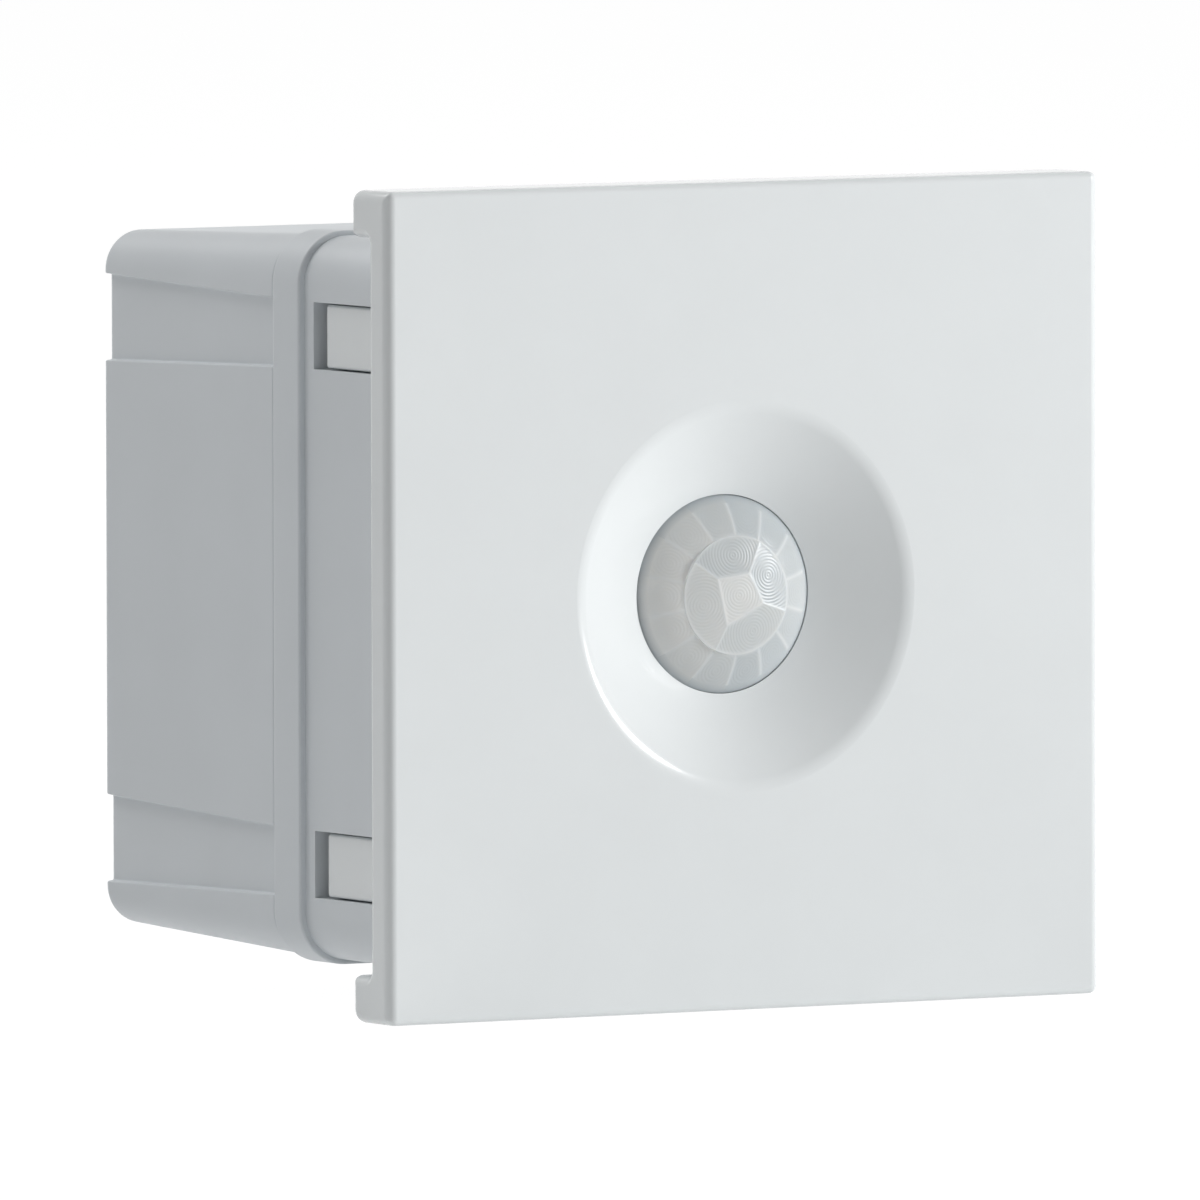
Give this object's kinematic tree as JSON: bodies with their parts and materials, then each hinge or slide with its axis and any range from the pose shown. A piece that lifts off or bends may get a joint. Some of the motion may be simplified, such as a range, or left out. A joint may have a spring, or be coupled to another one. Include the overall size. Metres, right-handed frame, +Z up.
{
  "type": "motion sensor",
  "caption": "Square flush-mounted passive infrared motion sensor module: white front plate with a conical recess and faceted lens, and a grey-white terminal body behind it.",
  "frame": {"origin": "on the lens axis, in the plane of the front plate's back face", "axes": "-Y points out of the front of the sensor, +Y into the wall, +Z up, +X to the right seen from the front"},
  "size_m": [0.05, 0.0378, 0.05],
  "materials": {
    "fascia_gloss": "smooth gloss white",
    "body_satin": "fine satin, grey-white",
    "lens_milky": "milky translucent, faceted",
    "holder_plastic": "matte black",
    "steel": "plated steel",
    "brass": "machined brass",
    "tinned_copper": "tinned copper strip",
    "filter_pane": "dark infrared filter",
    "board_green": "green solder mask",
    "chip_black": "matte black",
    "light_sensor_clear": "clear epoxy",
    "led_red": "clear red epoxy",
    "trimmer_blue": "matte blue",
    "dial_white": "matte white",
    "terminal_grey": "matte dark grey",
    "relay_black": "smooth black",
    "film_yellow": "yellow box",
    "foil_black": "dark sleeve",
    "varistor_blue": "dipped blue coating",
    "ferrite_grey": "dull ferrite",
    "resistor_green": "matte green coating"
  },
  "bodies": {
    "body": {"fresnel_lens": "lens_milky", "body_frame": "body_satin", "rear_cover": "body_satin", "lens_retaining_ring": "holder_plastic", "pir_sensor_can": "steel", "pir_sensor_window": "filter_pane", "pir_sensor_header": "steel", "light_sensor": "light_sensor_clear", "indicator_led": "led_red", "control_pcb": "board_green", "microcontroller": "chip_black", "lux_trimmer_body": "trimmer_blue", "time_trimmer_body": "trimmer_blue", "pin_header": "chip_black", "power_pcb": "board_green", "relay": "relay_black", "electrolytic_capacitor": "foil_black", "film_capacitor": "film_yellow", "varistor": "varistor_blue", "fuse_resistor": "resistor_green", "inductor": "ferrite_grey", "bridge_rectifier": "chip_black", "voltage_regulator": "chip_black", "terminal_block": "terminal_grey", "terminal_contact_1": "tinned_copper", "terminal_contact_2": "tinned_copper", "terminal_contact_3": "tinned_copper", "case_screw_1": "steel", "case_screw_2": "steel", "case_screw_3": "steel", "case_screw_4": "steel"},
    "front_plate": {"fascia": "fascia_gloss"},
    "lux_dial": {"lux_trimmer_dial": "dial_white"},
    "time_dial": {"time_trimmer_dial": "dial_white"},
    "screw_1": {"terminal_screw_1": "steel"},
    "clamp_1": {"terminal_clamp_1": "brass"},
    "screw_2": {"terminal_screw_2": "steel"},
    "clamp_2": {"terminal_clamp_2": "brass"},
    "screw_3": {"terminal_screw_3": "steel"},
    "clamp_3": {"terminal_clamp_3": "brass"}
  },
  "joints": [
    {"name": "fascia_pull", "type": "slide", "parent": "body", "child": "front_plate", "axis": [0, -1, 0], "range_m": [0, 0.012]},
    {"name": "lux_adjust", "type": "hinge", "parent": "body", "child": "lux_dial", "pos_m": [-0.0135, 0.0022, -0.0085], "axis": [0, 1, 0], "range_deg": [-135, 135]},
    {"name": "time_adjust", "type": "hinge", "parent": "body", "child": "time_dial", "pos_m": [0.0135, 0.0022, -0.0085], "axis": [0, 1, 0], "range_deg": [-135, 135]},
    {"name": "terminal_screw_turn_1", "type": "hinge", "parent": "body", "child": "screw_1", "pos_m": [-0.008, 0.0324, -0.01545], "axis": [0, -1, 0], "range_deg": [0, 1445]},
    {"name": "terminal_clamp_rise_1", "type": "slide", "parent": "body", "child": "clamp_1", "axis": [0, 1, 0], "range_m": [0, 0.002]},
    {"name": "terminal_screw_turn_2", "type": "hinge", "parent": "body", "child": "screw_2", "pos_m": [0, 0.0324, -0.01545], "axis": [0, -1, 0], "range_deg": [0, 1445]},
    {"name": "terminal_clamp_rise_2", "type": "slide", "parent": "body", "child": "clamp_2", "axis": [0, 1, 0], "range_m": [0, 0.002]},
    {"name": "terminal_screw_turn_3", "type": "hinge", "parent": "body", "child": "screw_3", "pos_m": [0.008, 0.0324, -0.01545], "axis": [0, -1, 0], "range_deg": [0, 1445]},
    {"name": "terminal_clamp_rise_3", "type": "slide", "parent": "body", "child": "clamp_3", "axis": [0, 1, 0], "range_m": [0, 0.002]}
  ],
  "couplings": [
    {"joint": "terminal_screw_turn_1", "follows": "terminal_clamp_rise_1", "rad_per_m": 12566},
    {"joint": "terminal_screw_turn_2", "follows": "terminal_clamp_rise_2", "rad_per_m": 12566},
    {"joint": "terminal_screw_turn_3", "follows": "terminal_clamp_rise_3", "rad_per_m": 12566}
  ]
}
